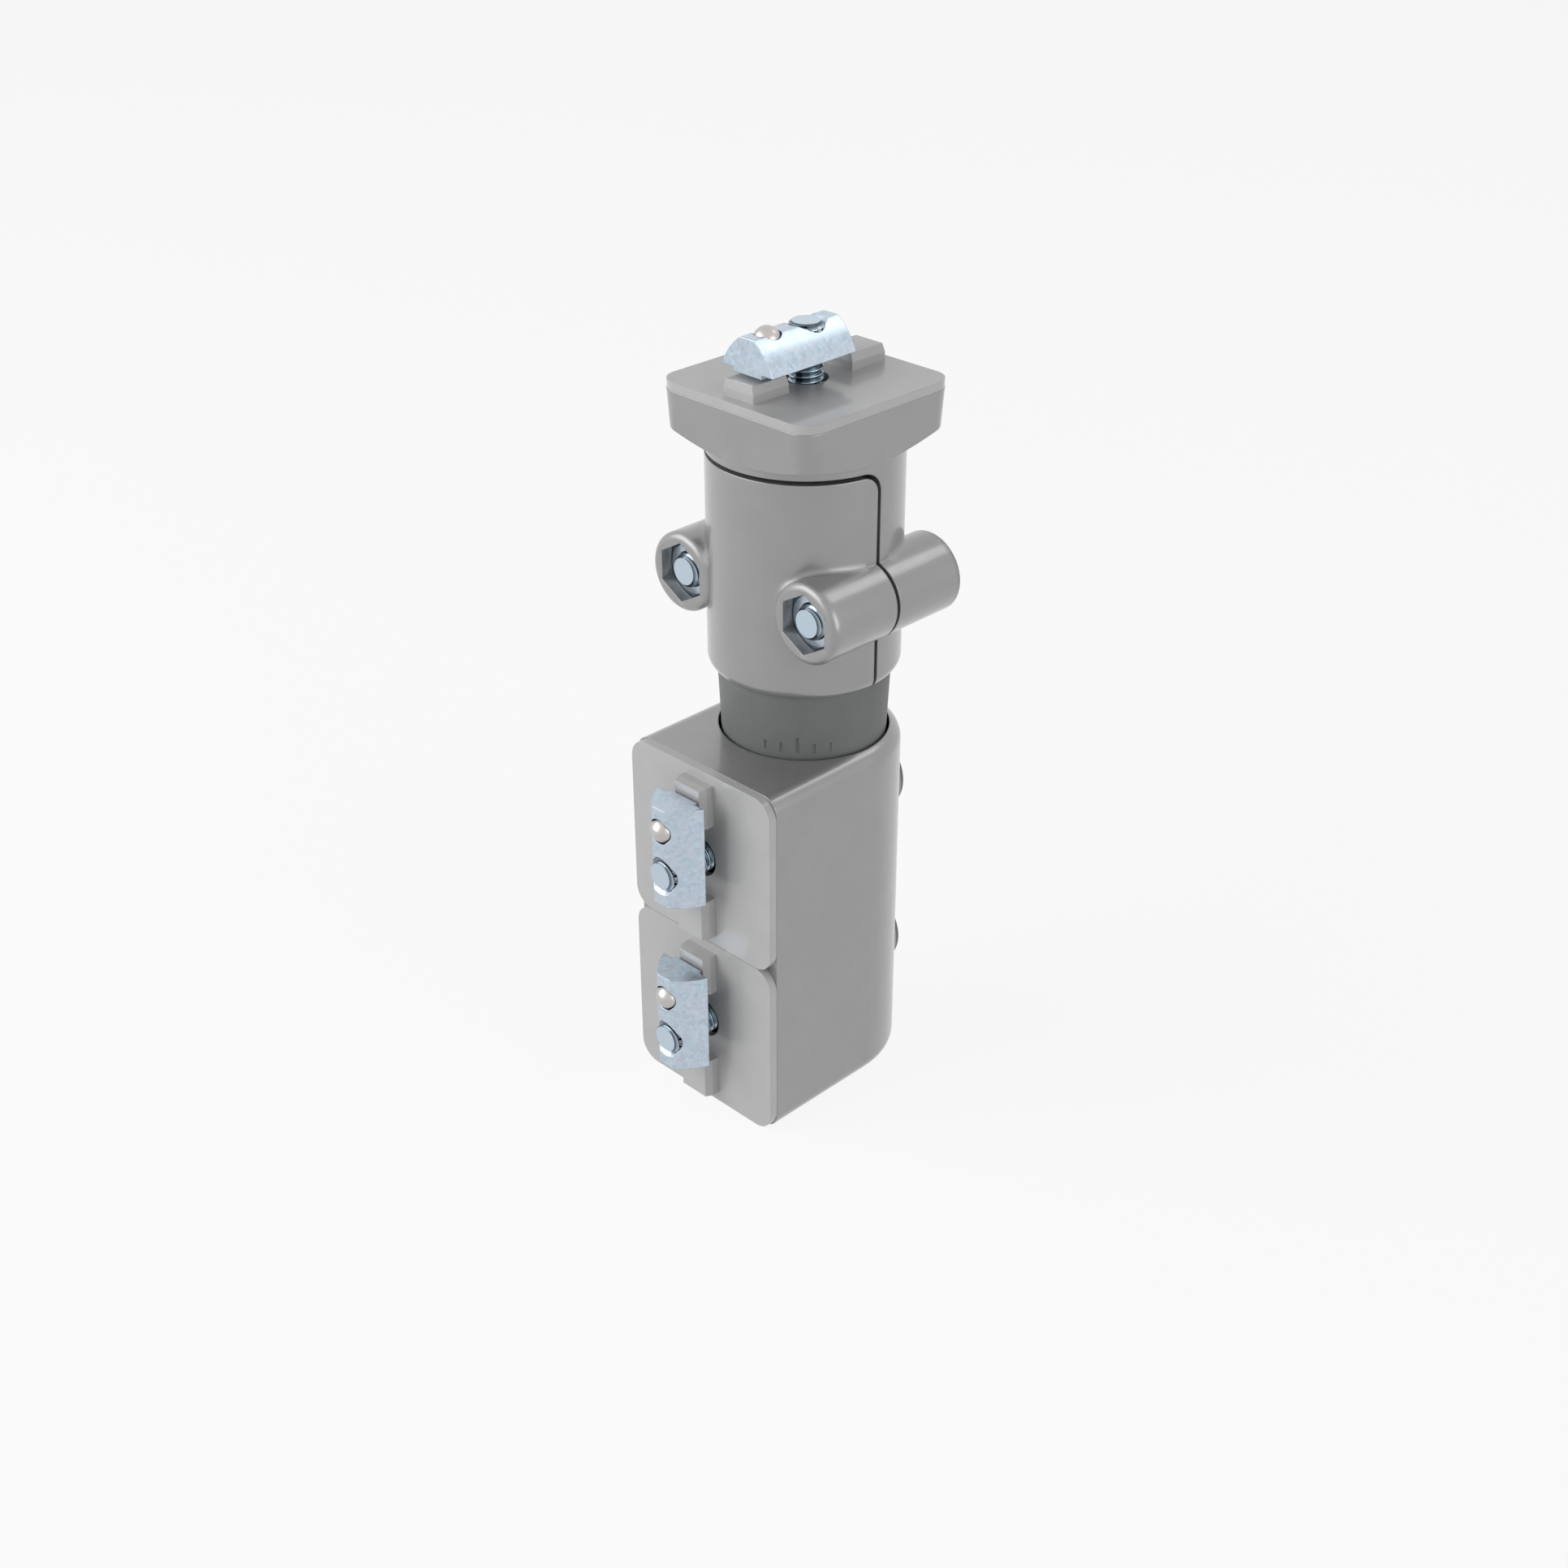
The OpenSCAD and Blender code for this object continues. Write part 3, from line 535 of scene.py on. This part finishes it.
def coil_mesh(name, base, along, outer_r, height):
    """Coil of round wire that stands on base, with flat ends to its wire."""
    bm = bmesh.new()
    side = along.orthogonal().normalized()
    round_to = along.cross(side)
    steps = round(SPRING_TURNS * SPRING_STEPS_PER_TURN)
    rows = []
    for k in range(steps + 1):
        turned = 2 * math.pi * k / SPRING_STEPS_PER_TURN
        out = side * math.cos(turned) + round_to * math.sin(turned)
        rise = SPRING_WIRE_R + (height - 2 * SPRING_WIRE_R) * k / steps
        centre = base + out * (outer_r - SPRING_WIRE_R) + along * rise
        row = []
        for _, a in angles(SPRING_WIRE_SIDES):
            off = out * math.cos(a) + along * math.sin(a)
            row.append(bm.verts.new(centre + off * SPRING_WIRE_R))
        rows.append(row)
    join_rows(bm, rows)
    bm.faces.new(rows[0])
    bmesh.ops.recalc_face_normals(bm, faces=bm.faces)
    return as_mesh(bm, name)


def spring(node, direction, material):
    """Replaces a plain spring by a wire coil."""
    low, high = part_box(node)
    along = Vector(direction)
    height = size_along(low, high, along)
    base = (low + high) / 2 - along * height / 2
    name = node + "_coil"
    mesh = coil_mesh(name, base, along, (high.x - low.x) / 2, height)
    piece = add_piece(name, mesh, material)
    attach(piece, body_with(node))
    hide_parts(node)
    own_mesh(piece)


def nut_top(across, width, height):
    """Height of a T-nut over its shoulders, at a distance from the middle of its section."""
    side, flat = width / 2, NUT_FLAT_W / 2
    chord = math.hypot(side - flat, height)
    reach = math.sqrt(NUT_FLANK_R ** 2 - chord ** 2 / 4)
    centre_x = (side + flat) / 2 - reach * height / chord
    centre_z = height / 2 - reach * (side - flat) / chord
    flank = centre_z + math.sqrt(NUT_FLANK_R ** 2 - (abs(across) - centre_x) ** 2)
    return min(flank, height - NUT_SINK_H)


def lining_mesh(name, base, along, width, height):
    """Thread surface of a T-nut's hole, from its collar up to its flanks."""
    bm = bmesh.new()
    profile = (
        (0.0, NUT_ROOT_R),
        (0.08, NUT_ROOT_R),
        (0.44, NUT_CREST_R),
        (0.56, NUT_CREST_R),
        (0.92, NUT_ROOT_R),
    )
    side = Vector((1, 0, 0))
    round_to = along.cross(side)
    rows = []
    for turn in range(math.ceil((height + NUT_COLLAR_H) / PITCH) + 2):
        for phase, r in profile:
            row = []
            for share, a in angles():
                across = r * math.cos(a)
                top = nut_top(across, width, height) + NUT_COLLAR_H - NUT_LINING_INSET
                z = max(NUT_LINING_INSET, min(top, (turn - 1 + phase + share) * PITCH))
                corner = side * across + round_to * (r * math.sin(a)) + along * z
                row.append(bm.verts.new(base + corner))
            rows.append(row)
    join_helix(bm, rows, len(profile), inward=True)
    bmesh.ops.remove_doubles(bm, verts=bm.verts, dist=MERGE)
    return as_mesh(bm, name)


def tapped_hole(nut, bolt, direction, material):
    """Lines the hole of a T-nut with its thread; direction points from the plate to the nut."""
    low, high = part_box(nut)
    bolt_low, bolt_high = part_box(bolt)
    along = Vector(direction)
    height = size_along(low, high, along) - NUT_COLLAR_H
    start = min(low.dot(along), high.dot(along))
    base = moved_along((bolt_low + bolt_high) / 2, along, start)
    name = nut + "_thread"
    mesh = lining_mesh(name, base, along, high.x - low.x, height)
    piece = add_piece(name, mesh, material)
    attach(piece, body_with(nut))


def seen_rays(tree, share):
    """Share for camera, glossy and transmission rays, and 0 for the rest."""
    path = tree.nodes.new("ShaderNodeLightPath")
    seen = path.outputs["Is Camera Ray"]
    for kind in ("Is Glossy Ray", "Is Transmission Ray"):
        either = tree.nodes.new("ShaderNodeMath")
        either.operation = "MAXIMUM"
        tree.links.new(seen, either.inputs[0])
        tree.links.new(path.outputs[kind], either.inputs[1])
        seen = either.outputs["Value"]
    scale = tree.nodes.new("ShaderNodeMath")
    scale.operation = "MULTIPLY"
    scale.inputs[1].default_value = share
    tree.links.new(seen, scale.inputs[0])
    return scale.outputs["Value"]


def mix_by_rays(tree, share, rest, seen, out):
    """Shows one shader to the rays that see the picture, by a share, and one to the rest."""
    mix = tree.nodes.new("ShaderNodeMixShader")
    tree.links.new(seen_rays(tree, share), mix.inputs["Fac"])
    tree.links.new(rest, mix.inputs[1])
    tree.links.new(seen, mix.inputs[2])
    tree.links.new(mix.outputs["Shader"], out.inputs["Surface"])


def studio_floor():
    size = FLOOR_REACH
    mesh = bpy.data.meshes.new("studio_floor")
    corners = [(-size, -size, 0), (size, -size, 0), (size, size, 0), (-size, size, 0)]
    mesh.from_pydata(corners, [], [(0, 1, 2, 3)])
    mat = bpy.data.materials.new("studio_floor")
    mat.use_nodes = True
    tree = mat.node_tree
    tree.nodes.clear()
    out = tree.nodes.new("ShaderNodeOutputMaterial")
    matt = tree.nodes.new("ShaderNodeBsdfDiffuse")
    glow = tree.nodes.new("ShaderNodeEmission")
    matt.inputs["Color"].default_value = (*FLOOR_WHITE, 1)
    glow.inputs["Strength"].default_value = 1.0
    mix_by_rays(tree, FLOOR_GLOW_SHARE, matt.outputs["BSDF"], glow.outputs["Emission"], out)
    floor = add_piece("studio_floor", mesh, mat)
    floor.location.z = cad_box[0][2] - FLOOR_GAP


def studio_world():
    world = bpy.data.worlds.new("studio")
    bpy.context.scene.world = world
    world.use_nodes = True
    tree = world.node_tree
    tree.nodes.clear()
    out = tree.nodes.new("ShaderNodeOutputWorld")
    light = tree.nodes.new("ShaderNodeBackground")
    white = tree.nodes.new("ShaderNodeBackground")
    light.inputs["Color"].default_value = (1, 1, 1, 1)
    light.inputs["Strength"].default_value = WORLD_LIGHT
    white.inputs["Color"].default_value = (1, 1, 1, 1)
    white.inputs["Strength"].default_value = 1.0
    mix_by_rays(tree, 1.0, light.outputs["Background"], white.outputs["Background"], out)


def softbox(name, at, width, height, power):
    lamp = bpy.data.lights.new(name, "AREA")
    lamp.shape = "RECTANGLE"
    lamp.size = width
    lamp.size_y = height
    lamp.energy = power
    box = bpy.data.objects.new(name, lamp)
    box.location = at
    box.rotation_euler = (Vector(LAMPS_FACE) - Vector(at)).to_track_quat("-Z", "Y").to_euler()
    bpy.context.collection.objects.link(box)


def camera():
    lens = bpy.data.cameras.new("camera")
    lens.lens = CAMERA_LENS
    lens.sensor_width = CAMERA_SENSOR
    lens.clip_start = CAMERA_NEAR
    shot = bpy.data.objects.new("camera", lens)
    shot.location = CAMERA_AT
    ahead = Vector((
        -math.cos(CAMERA_ELEVATION) * math.sin(CAMERA_AZIMUTH),
        math.cos(CAMERA_ELEVATION) * math.cos(CAMERA_AZIMUTH),
        -math.sin(CAMERA_ELEVATION),
    ))
    shot.rotation_euler = ahead.to_track_quat("-Z", "Y").to_euler()
    bpy.context.collection.objects.link(shot)
    bpy.context.scene.camera = shot


screw_zinc = shaded_thread_zinc()
# The threads of the T-nut holes get the dark thread zinc, which paints shade into the holes
shaded_tapped_zinc = zinc("zinc_tapped_painted_shade", THREAD_SHADE_ZINC, 0.08 * MM)
bright_steel = ball_steel()
paint(casting("cast_aluminium_lacquered", HOUSING_EDGE_R), "housing")
paint(casting("cast_clamp_lacquered", CLAMP_EDGE_R, EAR_FOOT_R, ear_foot),
      "head_casting", "front_clamp_shell")
paint(insert_grey(), "friction_insert")
paint(plate_grey(), "alignment_plate")
paint(zinc("zinc_crystals", ZINC, 0.2 * MM), "t_nut", "clamp_nut", "mounting_screw", "clamp_screw")
paint(zinc("zinc_pressed", WASHER_ZINC, 0.15 * MM, contrast=0.5), "washer")
paint(bright_steel, "detent_ball", "detent_spring")
paint(cap_plastic(), "screw_cap")

# The three places with a plate, and the way their screws point
PLACES = (("top", UP), ("upper", FORWARD), ("lower", FORWARD))
for place, direction in PLACES:
    screw("mounting_screw_" + place, direction, screw_zinc)
for place in ("left", "right"):
    screw("clamp_screw_" + place, FORWARD, screw_zinc)
for place, direction in PLACES:
    tapped_hole("t_nut_" + place, "mounting_screw_" + place, direction, shaded_tapped_zinc)
for place, direction in PLACES:
    spring("detent_spring_" + place, direction, bright_steel)

studio_floor()
studio_world()
for lamp in LAMPS:
    softbox(*lamp)
camera()
bpy.context.scene.view_settings.view_transform = "Standard"
